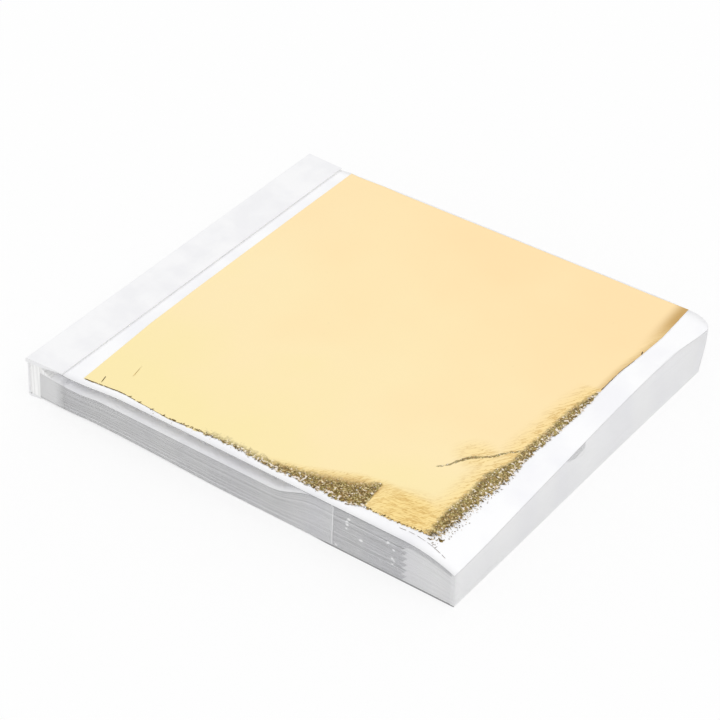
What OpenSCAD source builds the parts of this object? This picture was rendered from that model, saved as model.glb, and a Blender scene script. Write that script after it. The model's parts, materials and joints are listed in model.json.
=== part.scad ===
// Gold leaf booklet: loose metal leaves laid between tissue pages that are glued at one edge.
// X runs from the spine to the fore edge, Y along the spine, Z up from the table.

/* [Leaves] */
// Width of a metal leaf, across the page
leaf_w = 80; // [75:0.5:110]
// Length of a metal leaf, along the spine
leaf_l = 85; // [60:0.5:130]
// Thickness of a metal leaf
leaf_t = 0.01; // [0.004:0.001:0.015]
// How far the leaves lie off the middle of the page, towards the far end
leaf_shift = 0.4; // [0:0.1:1]
// Turn of the uppermost leaf on its page, in degrees
leaf_skew = 0.4; // [0:0.1:0.4]
// Depth of the torn nicks along the loose edges of the uppermost leaf
tear_depth = 0.35; // [0.1:0.05:0.6]

/* [Pages] */
// Thickness of a tissue page
page_t = 0.045; // [0.03:0.005:0.06]
// Distance from the outermost fold to the inner edge of the leaves
fold_margin = 0.6; // [0.4:0.1:3]
// Distance from the leaves to the fore edge of the pages
fore_margin = 4.8; // [1:0.1:10]
// Distance from a leaf in the middle of its page to each end of the page
end_margin = 1; // [1:0.1:10]
// Air between each leaf and the page above it
air_t = 0.006; // [0.005:0.001:0.01]

/* [Binding] */
// Thickness of the card strip folded over the spine
strip_t = 0.3; // [0.2:0.05:0.6]
// Width of the strip's flaps, from the outside of the spine
flap_w = 8.5; // [6:0.1:9]
// Thickness of the upper flap at its loose edge
flap_t = 0.2; // [0.1:0.05:0.4]
// How far the upper flap falls from the spine to its loose edge
flap_fall = 0.2; // [0:0.05:0.4]
// How far the upper flap stands past the pages at each end
flap_past = 0.6; // [0:0.1:2]
// Inside radius of the strip's two folds
fold_r = 0.2; // [0.1:0.05:0.5]
// Depth of the bead of glue between the spine and the pages
glue_d = 2.4; // [1:0.1:4]
// Thickness of the back cover
cover_t = 0.3; // [0.2:0.05:0.5]

/* [Lie of the stack] */
// Height of the spine, over both flaps
spine_h = 9.3; // [8.5:0.1:12]
// How much lower the upper pages lie at the glue than at the edge of the flap
pinch_h = 0.6; // [0.2:0.05:0.8]
// Run over which the block rises to its full height, from the inner edge of the leaves
lead_run = 5; // [3:0.5:8]
// Highest gap under the back cover where it bows off the table
bow_h = 0.65; // [0.4:0.05:0.8]
// How far the upper pages rise above the place where they leave the strip
page_rise = 1.05; // [0.5:0.05:1.5]
// Drop of the pages at the fore edge
fore_drop = 1.5; // [0.5:0.1:2.5]
// Distance from the fore edge over which the pages drop
fore_run = 11; // [8:0.5:15]
// Distance from the spine to the foot of the slope where the block closes the gap
slope_x = 57; // [50:1:60]
// Run of that slope
slope_run = 10; // [8:0.5:14]

/* [Turning] */
// Angle through which the uppermost page turns
turn_max = 150; // [120:1:150]
// Step in that angle from one upper page to the next
turn_step = 10; // [8:1:15]
// Angle through which the uppermost page of the block turns
block_turn = 90; // [45:1:90]
// Distance from the strip's flap to the fold of the uppermost page
fold_gap = 1.4; // [1.2:0.1:2]
// Spare room between the folds of neighbouring pages
fold_clear = 0.03; // [0.02:0.01:0.1]
// Width of the open seam at a page's fold
seam = 0.05; // [0.02:0.01:0.1]

/* [Hidden] */

// Pages in the booklet, those that bridge the gap, and those that are nodes of their own
pages = 100;
upper = 3;
singles = 12;
lower = pages - upper;

// First and last page of each group that turns as one
groups = concat([for (i = [1:singles]) [i, i]], [[13, 20]], [for (i = [21:10:91]) [i, i + 9]]);

// Room that a page and its leaf take, with the air between
pitch = page_t + leaf_t + air_t;

// Height of the lower block beside the strip, pressed until no air is left in it, and past there
bound_h = bow_h + cover_t + lower * (page_t + leaf_t);
block_h = bow_h + cover_t + lower * pitch;

// Top of the upper pages at the edge of the flap and at the glue
page_top = spine_h - flap_fall - flap_t;
pinch_top = page_top - pinch_h;

// Room between the rounded corners of the glue and those inside the strip
glue_shy = 0.2;

// Where the upper pages have risen, and where the cover's bow is highest, starts down and ends
rise_x = 24;
bow_x = 16;
fall_x = 20;
flat_x = 50;

// Places across the booklet, from the spine
strip_out = -strip_t;
flap_edge = strip_out + flap_w;
fold_edge = flap_edge + fold_gap;
leaf_x = max([for (k = [0:len(groups) - 1]) fold_x(k)]) + fold_margin;
page_w = leaf_x + leaf_w + fore_margin;
mid_x = (strip_out + page_w) / 2;

// Places along the spine, from the middle
page_l = leaf_l + 2 * end_margin;
leaf_y = -leaf_l / 2 + leaf_shift;

// Stations at which every sheet bends, closer where the pages curve
bends = concat(
    [0, glue_d, flap_edge],
    stretch(fold_edge, rise_x, 6),
    stretch(rise_x, slope_x, 5),
    stretch(slope_x, slope_x + slope_run, 7),
    stretch(slope_x + slope_run, page_w - fore_run, 3),
    stretch(page_w - fore_run, page_w, 6),
    [page_w]
);

paper = "white";
card = "whitesmoke";
gold = "goldenrod";

// The n even steps from a up to b, without b itself
function stretch(a, b, n) = [for (k = [0:n - 1]) a + (b - a) * k / n];

// Smooth step from 0 at a to 1 at b
function ease(x, a, b) =
    let (t = min(max((x - a) / (b - a), 0), 1)) t * t * (3 - 2 * t);

// Underside of the back cover: on the strip's lower flap, bowed, then flat on the table
function cover_z(x) =
    strip_t + (bow_h - strip_t) * ease(x, flap_edge, bow_x) - bow_h * ease(x, fall_x, flat_x);

// Top of the uppermost page: pressed down at the glue, risen past the strip, low at the fore edge
function page_z(x) =
    pinch_top + pinch_h * min(max((x - glue_d) / (flap_edge - glue_d), 0), 1)
    + page_rise * ease(x, fold_edge, rise_x)
    - fore_drop * pow(max(x - page_w + fore_run, 0) / fore_run, 2);

// Top of the lower block, which rises with the leaves and meets the upper pages past the slope
function block_z(x) =
    let (open = bound_h + (block_h - bound_h) * ease(x, leaf_x, leaf_x + lead_run))
    let (closed = page_z(x) - upper * pitch)
    open + (closed - open) * ease(x, slope_x, slope_x + slope_run);

// Underside of page i, counted from the top
function page_low(i, x) =
    let (foot = cover_z(x) + cover_t)
    i <= upper
    ? page_z(x) - (i - 1) * pitch - page_t
    : foot + (block_z(x) - foot) * (pages - i) / lower;

// Underside of leaf i, which lies on its page. The first leaf of the lower block has stayed
// with the upper pages and clings under the last of them.
function leaf_low(i, x) =
    i == upper + 1 ? page_low(upper, x) - leaf_t : page_low(i, x) + page_t;

// Underside of page i where it leaves the strip, between the flap and the leaves
function bound_low(i) =
    let (foot = cover_z(fold_edge) + cover_t)
    i <= upper
    ? page_top - (i - 1) * pitch - page_t
    : foot + (bound_h - foot) * (pages - i) / lower;

// Largest angle of each group, falling evenly down the block
function turn(k) =
    k < upper ? turn_max - k * turn_step : block_turn * (len(groups) - k) / (len(groups) - upper);

// Height of the fold of group k, which is the top of its first page beside the strip
function fold_z(k) = bound_low(groups[k][0]) + page_t;

// Depth of group k below its fold
function depth(k) = fold_z(k) - bound_low(groups[k][1]);

// Place of the fold of group k, far enough out that it clears the group above as both turn
function fold_x(k) =
    k == 0
    ? fold_edge
    : fold_x(k - 1) + fold_clear
        + (depth(k - 1) + leaf_t - (fold_z(k - 1) - fold_z(k)) * cos(turn(k))) / sin(turn(k));

// Group that page i turns with
function group_of(i) = [for (k = [0:len(groups) - 1]) if (groups[k][0] <= i && i <= groups[k][1]) k][0];

// The ends a and b of a sheet, with the stations between them
function stations(a, b) = concat([a], [for (x = bends) if (x > a && x < b) x], [b]);

// A sheet between x = a and b and along Y from y for length l, lying on the height low(x).
// All sheets bend at the same stations, so that neighbours lie on each other wherever they start.
module sheet(a, b, y, l, t, low) {
    lie = [for (x = bends) [x, low(x)]];
    xs = stations(a, b);
    under = [for (x = xs) [x, lookup(x, lie)]];
    over = [for (n = [len(xs) - 1:-1:0]) [xs[n], lookup(xs[n], lie) + t]];
    translate([0, y + l, 0])
        rotate([90, 0, 0])
            linear_extrude(l)
                polygon(concat(under, over));
}

// Moves the booklet so that the table's origin lies under its middle
module placed() {
    translate([-mid_x, 0, 0]) children();
}

// Outline of the folded strip seen along the spine, with rounded folds
module fold_outline(x, z, w, h, r) {
    translate([x, z]) {
        translate([r, 0]) square([w - r, h]);
        translate([0, r]) square([w, h - 2 * r]);
        translate([r, r]) circle(r, $fn = 48);
        translate([r, h - r]) circle(r, $fn = 48);
    }
}

// Wall behind the spine and lower flap, of one thickness
module wall_profile() {
    difference() {
        fold_outline(strip_out, 0, flap_w, spine_h, strip_t + fold_r);
        fold_outline(0, strip_t, flap_w, spine_h, fold_r);
    }
}

// Upper flap, folded double over the spine, so that it thins from there to its loose edge
module flap_profile() {
    intersection() {
        fold_outline(strip_out, 0, flap_w, spine_h, strip_t + fold_r);
        polygon([
            [strip_out, pinch_top],
            [glue_d, pinch_top],
            [flap_edge, page_top],
            [flap_edge, page_top + flap_t],
            [0, spine_h],
            [strip_out, spine_h]
        ]);
    }
}

// A profile seen from the near end, drawn out along the spine about the middle
module along_spine(length) {
    translate([0, length / 2, 0])
        rotate([90, 0, 0])
            linear_extrude(length)
                children();
}

// Only the upper flap stands past the pages
module binding_strip() {
    color(card)
        placed()
            union() {
                along_spine(page_l) wall_profile();
                along_spine(page_l + 2 * flap_past) flap_profile();
            }
}

// The bead fills the folded strip behind the pages, just short of its rounded folds
module spine_glue() {
    color(paper)
        placed()
            along_spine(page_l)
                difference() {
                    fold_outline(0, strip_t, glue_d, pinch_top - strip_t, fold_r + glue_shy);
                    square([glue_d, strip_t + cover_t]);
                }
}

module back_cover() {
    color(card)
        placed()
            sheet(fold_r, page_w, -page_l / 2, page_l, cover_t, function(x) cover_z(x));
}

// Inner margin of every page, from the glue to its fold
module bound_margins() {
    color(paper)
        placed()
            for (i = [1:pages])
                sheet(glue_d, fold_x(group_of(i)) - seam, -page_l / 2, page_l, page_t,
                      function(x) page_low(i, x));
}

// The part of pages first to last that turns
module turning_pages(first, last) {
    color(paper)
        placed()
            for (i = [first:last])
                sheet(fold_x(group_of(i)), page_w, -page_l / 2, page_l, page_t,
                      function(x) page_low(i, x));
}

// Leaves first to last
module loose_leaves(first, last) {
    color(gold)
        placed()
            for (i = [first:last])
                sheet(leaf_x, leaf_x + leaf_w, leaf_y, leaf_l, leaf_t,
                      function(x) leaf_low(i, x));
}

// Depth of the torn edge at a distance along it
function tear(s) = tear_depth * (0.5 + 0.3 * sin(211 * s) + 0.2 * sin(487 * s + 40));

// Outline of the uppermost leaf, whose near edge and fore edge are torn
module torn_outline() {
    step = 1.7;
    near = [for (s = [step:step:leaf_w - step]) [s, tear(s)]];
    fore = [for (s = [step:step:leaf_l - step]) [leaf_w - tear(s + leaf_w), s]];
    polygon(concat([[0, 0]], near, [[leaf_w - tear_depth, tear_depth]], fore, [[leaf_w, leaf_l], [0, leaf_l]]));
}

// The uppermost leaf lies a little askew, so it is cut from a wider sheet
module top_leaf() {
    spare = 1;
    color(gold)
        placed()
            intersection() {
                sheet(leaf_x - spare, leaf_x + leaf_w + spare, leaf_y - spare, leaf_l + 2 * spare, leaf_t,
                      function(x) leaf_low(1, x));
                translate([leaf_x, leaf_y, 0])
                    rotate([0, 0, leaf_skew])
                        linear_extrude(2 * spine_h)
                            torn_outline();
            }
}

// Node names of single pages and leaves end in two figures, those of groups in two numbers
function two(i) = i < 10 ? str("0", i) : str(i);
function three(i) = i < 100 ? str("0", i) : str(i);
function group_name(what, g) = str(what, "_", three(g[0]), "_", three(g[1]));

binding_strip();
spine_glue();
back_cover();
bound_margins();
top_leaf();  // leaf_01
for (g = groups) {
    turning_pages(g[0], g[1]);
    if (g[0] > 1)
        loose_leaves(g[0], g[1]);
}
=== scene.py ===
import json
import logging
import math
from collections.abc import Sequence
from dataclasses import dataclass, field
from enum import Enum

import bpy
import numpy as np
from mathutils import Matrix, Vector


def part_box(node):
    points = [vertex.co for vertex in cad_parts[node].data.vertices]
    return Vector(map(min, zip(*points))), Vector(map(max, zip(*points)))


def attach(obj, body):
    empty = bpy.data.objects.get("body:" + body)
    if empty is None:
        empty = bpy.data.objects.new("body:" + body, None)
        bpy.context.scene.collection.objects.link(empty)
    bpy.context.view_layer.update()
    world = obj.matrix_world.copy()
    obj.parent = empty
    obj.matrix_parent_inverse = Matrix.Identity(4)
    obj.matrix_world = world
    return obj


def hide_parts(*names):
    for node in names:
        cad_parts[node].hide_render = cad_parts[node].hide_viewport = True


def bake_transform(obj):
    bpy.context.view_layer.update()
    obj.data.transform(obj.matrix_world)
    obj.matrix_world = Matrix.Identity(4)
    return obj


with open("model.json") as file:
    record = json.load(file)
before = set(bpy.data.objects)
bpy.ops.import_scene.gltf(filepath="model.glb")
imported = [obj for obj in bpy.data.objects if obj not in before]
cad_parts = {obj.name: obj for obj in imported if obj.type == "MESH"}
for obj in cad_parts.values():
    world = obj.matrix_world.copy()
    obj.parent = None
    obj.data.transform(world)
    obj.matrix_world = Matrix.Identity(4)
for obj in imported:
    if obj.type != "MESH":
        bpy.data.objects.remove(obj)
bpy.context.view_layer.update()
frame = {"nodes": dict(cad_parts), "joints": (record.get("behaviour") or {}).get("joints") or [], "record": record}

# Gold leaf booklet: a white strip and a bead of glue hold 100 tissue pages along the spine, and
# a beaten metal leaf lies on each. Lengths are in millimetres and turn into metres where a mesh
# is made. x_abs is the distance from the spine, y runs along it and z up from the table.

LOG = logging.getLogger("gold_leaf_booklet")
MM = 0.001

Array = np.ndarray
Socket = bpy.types.NodeSocket
Tree = bpy.types.NodeTree

# Tones that every point of a surface carries, from 0 to 1
TONES = ("crush", "wrinkle", "corner", "shade", "pale")


class Side(Enum):
    """Side of a thin sheet."""

    UNDER = "under"
    TOP = "top"


class Slot(Enum):
    """Material slots of the record."""

    STRIP = "binding_card"
    COVER = "cover_card"
    GLUE = "spine_glue"
    TISSUE = "tissue_paper"
    LEAF = "gold_leaf"


# Curves and fields


@dataclass(frozen=True)
class Line:
    """A line of straight stretches, level past its ends: a value over each station."""

    stations: tuple[float, ...]
    values: tuple[float, ...]

    def __call__(self, at: Array | float) -> Array:
        """The line's value, in the shape of at."""
        return np.interp(at, self.stations, self.values)


def ease(x: Array | float, start: float, end: float) -> Array:
    """Smooth step: 3t^2 - 2t^3, where t runs from 0 at start to 1 at end.

    Args:
        x: Where to work it out.
        start: Where the step leaves 0.
        end: Where the step reaches 1.

    Returns:
        The step, from 0 to 1, in the shape of x.
    """
    t = np.clip((np.asarray(x, float) - start) / (end - start), 0, 1)
    return t * t * (3 - 2 * t)


def smooth_line(x: Array, stations: Array, heights: Array) -> Array:
    """Cubic through the stations with slopes that never overshoot them.

    The slope at a station is the weighted harmonic mean of the slopes on either side, or 0
    where they differ in sign. Past the ends the line stays level.

    Args:
        x: Where to work it out.
        stations: Rising places of the known points.
        heights: Heights of the known points.

    Returns:
        Heights, in the shape of x.
    """
    step, rise = np.diff(stations), np.diff(heights)
    slope = rise / step
    before, after = slope[:-1], slope[1:]
    wide, near = 2 * step[1:] + step[:-1], step[1:] + 2 * step[:-1]
    same = before * after > 0
    safe_before, safe_after = np.where(same, before, 1), np.where(same, after, 1)
    mean = (wide + near) / (wide / safe_before + near / safe_after)
    tangent = np.concatenate([[slope[0]], np.where(same, mean, 0), [slope[-1]]])
    k = np.clip(np.searchsorted(stations, x) - 1, 0, len(step) - 1)
    t = np.clip((x - stations[k]) / step[k], 0, 1)
    return (
        heights[k] * (1 + 2 * t) * (1 - t) ** 2
        + heights[k + 1] * t * t * (3 - 2 * t)
        + step[k] * (tangent[k] * t * (1 - t) ** 2 + tangent[k + 1] * t * t * (t - 1))
    )


def ripples(u: Array, v: Array, length: float, seed: int, count: int = 14) -> Array:
    """Smooth random field: a sum of sine waves in seeded directions, with the given wavelength.

    Args:
        u: First coordinate.
        v: Second coordinate.
        length: Typical wavelength, in the coordinates' unit.
        seed: Seed of the directions, wavelengths and phases.
        count: Number of waves.

    Returns:
        The field, mostly between -1 and 1.
    """
    draw = np.random.default_rng(seed)
    turn = draw.uniform(0, 2 * math.pi, count)
    wave = 2 * math.pi / (length * draw.uniform(0.7, 1.5, count))
    phase = draw.uniform(0, 2 * math.pi, count)
    along = u[..., None] * np.cos(turn) + v[..., None] * np.sin(turn)
    return np.sin(along * wave + phase).sum(-1) / math.sqrt(count)


def distance_to_path(u: Array, v: Array, path: Array) -> Array:
    """Distance of each point from a path of straight stretches.

    Args:
        u: First coordinate of the points.
        v: Second coordinate of the points.
        path: Corners of the path, one row each.

    Returns:
        The least distance over the stretches.
    """
    start, run = path[:-1], np.diff(path, axis=0)
    du, dv = u[..., None] - start[:, 0], v[..., None] - start[:, 1]
    share = np.clip((du * run[:, 0] + dv * run[:, 1]) / (run**2).sum(1), 0, 1)
    return np.hypot(du - share * run[:, 0], dv - share * run[:, 1]).min(-1)


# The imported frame


def node_points(node: str) -> Array:
    """Points of a CAD node.

    Args:
        node: Name of the CAD node.

    Returns:
        The points in millimetres, (n, 3).
    """
    mesh = frame["nodes"][node].data
    points = np.empty(len(mesh.vertices) * 3, np.float32)
    mesh.vertices.foreach_get("co", points)
    return points.reshape(-1, 3).astype(float) / MM


def node_line(node: str, side: Side) -> tuple[Array, Array]:
    """Stations and heights of one side of a CAD sheet, read from its mesh.

    Args:
        node: Name of the CAD node.
        side: Which side of the sheet.

    Returns:
        The stations along X and the height at each, in the row frame.
    """
    points = node_points(node)
    stations, index = np.unique(np.round(points[:, 0], 3), return_inverse=True)
    pick, empty = (np.minimum, np.inf) if side is Side.UNDER else (np.maximum, -np.inf)
    heights = np.full(len(stations), empty)
    pick.at(heights, index, points[:, 2])
    return stations, heights


@dataclass
class StackLie:
    """How the 100 pages lie: their height lines, taken from the CAD sheets.

    The upper pages bridge a gap above the block. Below it, page i lies the share
    (pages - i) / lower of the way from the cover up to the top of the block. The stack isn't
    square: its fore edge sinks at the near corner and rises at the far one, the far ends of
    the upper pages splay out, and their far fore corner is worn round.
    """

    pages: int = 100
    upper: int = 3
    page: float = 0.045
    leaf: float = 0.01
    fore_run: float = 11
    near_drop: float = 0.85
    far_rise: float = 1.2
    far_tuck: float = 1.6
    fore_back: float = 1.5
    base_back: float = 0.5
    flare: float = 0.8
    corner_across: float = 5.8
    corner_along: float = 3.3
    splay: Line = Line((2.4, 8.2, 11, 22, 85), (0.6, 1.0, 1.35, 0.5, 2.5))

    def __post_init__(self) -> None:
        """Reads the lines and the ends of the pages and leaves."""
        self.lower = self.pages - self.upper
        low_corner, high_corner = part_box("spine_glue")
        self.spine = low_corner.x / MM
        self.glue_depth = high_corner.x / MM - self.spine
        self.flap_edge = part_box("binding_strip")[1].x / MM - self.spine
        self.top = self._line("page_01", Side.UNDER)
        margin_x, margin_top = self._line("bound_margins", Side.TOP)
        self.pinch = float((margin_top[1] - margin_top[0]) / (margin_x[1] - margin_x[0]))
        self.pitch = float(self.top[1].max() - self._line("page_02", Side.UNDER)[1].max())
        self.cover = self._line("back_cover", Side.TOP)
        stations, low = self._line("page_04", Side.UNDER)
        foot = self.foot(stations)
        self.block = stations, foot + (low - foot) * self.lower / (self.lower - 1)
        low_corner, high_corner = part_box("page_04")
        self.outer = high_corner.x / MM - self.spine
        self.near, self.far = low_corner.y / MM, high_corner.y / MM
        low_corner, high_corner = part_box("leaf_05")
        self.leaf_inner = low_corner.x / MM - self.spine
        self.leaf_outer = high_corner.x / MM - self.spine
        self.leaf_near, self.leaf_far = low_corner.y / MM, high_corner.y / MM

    def _line(self, node: str, side: Side) -> tuple[Array, Array]:
        """A CAD sheet's line with its stations measured from the spine."""
        stations, heights = node_line(node, side)
        return stations - self.spine, heights

    def foot(self, x: Array) -> Array:
        """Top of the back cover, on which page 100 lies."""
        return smooth_line(x, *self.cover)

    def settle(self, x: Array, y: Array) -> Array:
        """How much higher the top lies than the CAD's straight line, near the fore edge.

        Args:
            x: Distance from the spine.
            y: Place along the spine.

        Returns:
            The rise: less than nothing at the near corner, more towards the far end.
        """
        drop = np.clip((x - self.outer + self.fore_run) / self.fore_run, 0, 1) ** 2
        sunk = self.near_drop * (1 - ease(y, self.near, -15))
        return drop * (self.far_rise * ease(y, -20, self.far) - sunk)

    def setback(self, x: Array, y: Array, share: float) -> Array:
        """How far the fore edge steps back towards the far end, fading out inwards. The upper
        pages flare out again at the far corner.

        Args:
            x: Distance from the spine.
            y: Place along the spine.
            share: Share of the stack's height.

        Returns:
            The step in millimetres, in the shape of x.
        """
        most = self.base_back + share * (self.fore_back - self.base_back)
        flare = 1 - share * self.flare * ease(y, 30, self.far)
        return most * ease(y, self.near, 25) * ease(x, self.leaf_outer, self.outer) * flare

    def far_at(self, x: Array, share: float) -> Array:
        """Far edge of a page.

        Args:
            x: Distance from the spine.
            share: Share of the stack's height. Pages near the top splay out and are rounded at
                the corner, pages near the bottom are tucked in.

        Returns:
            Its y, in the shape of x.
        """
        tucked = self.far_tuck * np.clip((x - 20) / 65, 0, 1)
        edge = self.far + share * self.splay(x) - (1 - share) * tucked
        t = np.clip((x - self.outer + self.corner_across) / self.corner_across, 0, 1)
        return edge - share**3 * self.corner_along * (1 - np.sqrt(1 - t * t))

    def page_low(self, i: int, x: Array, y: Array) -> Array:
        """Underside of page i.

        Args:
            i: Number of the page, counted from the top.
            x: Distance from the spine.
            y: Place along the spine.

        Returns:
            Its height over the table.
        """
        foot = self.foot(x)
        lift = self.settle(x, y)
        if i <= self.upper:
            top = smooth_line(x, *self.top) - self.pinch * np.maximum(self.flap_edge - x, 0)
            return top + lift - (i - 1) * self.pitch
        share = (self.pages - i) / self.lower
        return foot + (smooth_line(x, *self.block) + lift - foot) * share

    def share(self, i: int) -> float:
        """Share of the stack's height at which page i lies."""
        return (self.pages - i + 0.5) / self.pages

    def leaf_low(self, i: int, x: Array, y: Array) -> Array:
        """Underside of leaf i, which lies on page i. Leaf 4 clings under page 3.

        Args:
            i: Number of the leaf, counted from the top.
            x: Distance from the spine.
            y: Place along the spine.

        Returns:
            Its height over the table.
        """
        if i == self.upper + 1:
            return self.page_low(self.upper, x, y) - self.leaf
        return self.page_low(i, x, y) + self.page

    def row(self, x: Array) -> Array:
        """Distance from the spine turned into the row frame's X."""
        return x + self.spine


# Meshes


@dataclass
class Surface:
    """Closed quad surfaces gathered into one piece.

    Faces carry material 0 on a sheet's two faces and 1 round its rim. Every point keeps its
    rest place (x_abs, y, share of the stack's height) and a tone, for the materials.
    """

    name: str
    points: list[Array] = field(default_factory=list)
    quads: list[Array] = field(default_factory=list)
    materials: list[Array] = field(default_factory=list)
    places: list[Array] = field(default_factory=list)
    tones: list[Array] = field(default_factory=list)
    count: int = 0

    def add(self, points: Array, quads: Array, materials: Array, places: Array, tones: Array) -> None:
        """Adds one closed surface.

        Args:
            points: Points in millimetres in the row frame, (n, 3).
            quads: Corners of each face, counted from this surface's first point.
            materials: Material index of each face.
            places: Rest place of each point, (n, 3).
            tones: Tones of each point, (n, len(TONES)).
        """
        self.points.append(points)
        self.quads.append(quads + self.count)
        self.materials.append(materials)
        self.places.append(places)
        self.tones.append(tones)
        self.count += len(points)

    def add_sheet(
        self,
        lie: StackLie,
        x: Array,
        y: Array,
        low: Array,
        high: Array,
        share: float,
        tone: Array | None = None,
    ) -> None:
        """Adds a thin closed sheet between two height fields on one grid.

        Args:
            lie: The stack, which places x_abs in the row frame.
            x: x_abs of the grid, (nx, ny), rising along the first axis.
            y: y of the grid, rising along the second axis.
            low: Height of the underside.
            high: Height of the top.
            share: Share of the stack's height at which the sheet lies.
            tone: Tones of each grid point, (nx, ny, len(TONES)), or None for 0.
        """
        nx, ny = x.shape
        index = np.arange(nx * ny).reshape(nx, ny)
        top = np.stack([index[:-1, :-1], index[1:, :-1], index[1:, 1:], index[:-1, 1:]], -1).reshape(-1, 4)
        ring = np.concatenate([index[:-1, 0], index[-1, :-1], index[:0:-1, -1], index[0, :0:-1]])
        after = np.roll(ring, -1)
        under = nx * ny
        rim = np.stack([ring + under, after + under, after, ring], -1)
        quads = np.concatenate([top, top[:, ::-1] + under, rim])
        materials = np.concatenate([np.zeros(2 * len(top), int), np.ones(len(rim), int)])
        row = lie.row(x)
        points = np.concatenate([np.stack([row, y, z], -1).reshape(-1, 3) for z in (high, low)])
        place = np.stack([x, y, np.full(x.shape, share)], -1).reshape(-1, 3)
        tone = np.zeros((nx, ny, len(TONES))) if tone is None else tone
        tones = np.tile(tone.reshape(-1, len(TONES)), (2, 1))
        self.add(points, quads, materials, np.tile(place, (2, 1)), tones)

    def build(self, finishes: Sequence["Finish"]) -> bpy.types.Object:
        """Makes the object, with its place in its mesh.

        Args:
            finishes: Finish of each material index.

        Returns:
            The new object, not yet riding on a body.
        """
        points, quads = np.concatenate(self.points) * MM, np.concatenate(self.quads)
        materials = np.concatenate(self.materials)
        mesh = bpy.data.meshes.new(self.name)
        mesh.vertices.add(len(points))
        mesh.vertices.foreach_set("co", points.astype(np.float32).ravel())
        mesh.loops.add(quads.size)
        mesh.loops.foreach_set("vertex_index", quads.astype(np.int32).ravel())
        mesh.polygons.add(len(quads))
        mesh.polygons.foreach_set("loop_start", np.arange(0, quads.size, 4, dtype=np.int32))
        mesh.polygons.foreach_set("material_index", materials.astype(np.int32))
        mesh.update(calc_edges=True)
        mesh.polygons.foreach_set("use_smooth", materials == 0)
        place = mesh.attributes.new("place", "FLOAT_VECTOR", "POINT")
        place.data.foreach_set("vector", np.concatenate(self.places).astype(np.float32).ravel())
        tones = np.concatenate(self.tones).astype(np.float32)
        for k, name in enumerate(TONES):
            tone = mesh.attributes.new(name, "FLOAT", "POINT")
            tone.data.foreach_set("value", np.ascontiguousarray(tones[:, k]))
        for finish in finishes:
            mesh.materials.append(finish.material())
        mesh.validate()
        made = bpy.data.objects.new(self.name, mesh)
        bpy.context.scene.collection.objects.link(made)
        LOG.info("%s: %d points, %d faces", self.name, len(points), len(quads))
        return made


# Finishes


def linear(colour: str) -> tuple[float, float, float, float]:
    """Turns an sRGB colour to linear: c / 12.92 up to 0.04045, else ((c + 0.055) / 1.055)^2.4.

    Args:
        colour: The colour in hex, such as "#F7F7F5".

    Returns:
        Linear red, green, blue and alpha.
    """
    parts = np.array([int(colour[k : k + 2], 16) for k in (1, 3, 5)]) / 255
    curved = np.where(parts <= 0.04045, parts / 12.92, ((parts + 0.055) / 1.055) ** 2.4)
    return (*curved.tolist(), 1.0)


def fill(tree: Tree, node: bpy.types.Node, feeds: dict) -> None:
    """Fills or joins a node's inputs.

    Args:
        tree: Node tree of the node.
        node: The node.
        feeds: Input name or index, and the value or socket that feeds it.
    """
    for key, value in feeds.items():
        if isinstance(value, Socket):
            tree.links.new(value, node.inputs[key])
        else:
            node.inputs[key].default_value = value


def add(
    tree: Tree, kind: str, feeds: dict | None = None, out: int | str = 0, **settings: object
) -> Socket | None:
    """Adds one node, sets its properties and fills or joins its inputs.

    Args:
        tree: Node tree that gets the node.
        kind: Type of the node.
        feeds: Input name or index, and the value or socket that feeds it.
        out: Output to return.
        **settings: Properties of the node.

    Returns:
        The output socket, or None where the node has none.
    """
    node = tree.nodes.new(kind)
    for name, value in settings.items():
        setattr(node, name, value)
    fill(tree, node, feeds or {})
    return node.outputs[out] if len(node.outputs) else None


NOISE = "ShaderNodeTexNoise"


def calc(tree: Tree, operation: str, *values: Socket | float) -> Socket:
    """Adds a sum, such as "MULTIPLY", of up to three values.

    Args:
        tree: Node tree that gets the node.
        operation: Blender's name of the sum.
        *values: What goes into it, in its order.

    Returns:
        The result.
    """
    return add(tree, "ShaderNodeMath", dict(enumerate(values)), operation=operation)


def ramp(tree: Tree, value: Socket, start: float, end: float, most: float = 1.0) -> Socket:
    """Adds a straight climb, level before its start and past its end.

    Args:
        tree: Node tree that gets the node.
        value: What it follows.
        start: Value that gives 0.
        end: Value that gives the most.
        most: What it climbs to.

    Returns:
        The result.
    """
    return add(tree, "ShaderNodeMapRange", {0: value, 1: start, 2: end, 4: most})


def mix(tree: Tree, share: Socket, first: Socket | str, second: Socket | str) -> Socket:
    """Adds a mix of two colours, each a socket or written in hex.

    Args:
        tree: Node tree that gets the node.
        share: Share of the second colour.
        first: First colour.
        second: Second colour.

    Returns:
        The mixed colour.
    """
    low, high = (linear(part) if isinstance(part, str) else part for part in (first, second))
    return add(tree, "ShaderNodeMix", {0: share, 6: low, 7: high}, data_type="RGBA", out=2)


@dataclass(frozen=True)
class Finish:
    """A finish, named for the real material. Subclasses dress the shader."""

    name: str

    def material(self) -> bpy.types.Material:
        """Makes the material the first time it is asked for.

        Returns:
            The material.
        """
        found = bpy.data.materials.get(self.name)
        if found is not None:
            return found
        made = bpy.data.materials.new(self.name)
        made.use_nodes = True
        tree = made.node_tree
        tree.nodes.clear()
        surface = add(tree, "ShaderNodeBsdfPrincipled")
        add(tree, "ShaderNodeOutputMaterial", {"Surface": surface})
        self.dress(tree, surface.node)
        return made

    def dress(self, tree: Tree, shader: bpy.types.Node) -> None:
        """Sets the shader's own sockets and joins the patterns."""
        raise NotImplementedError


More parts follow.
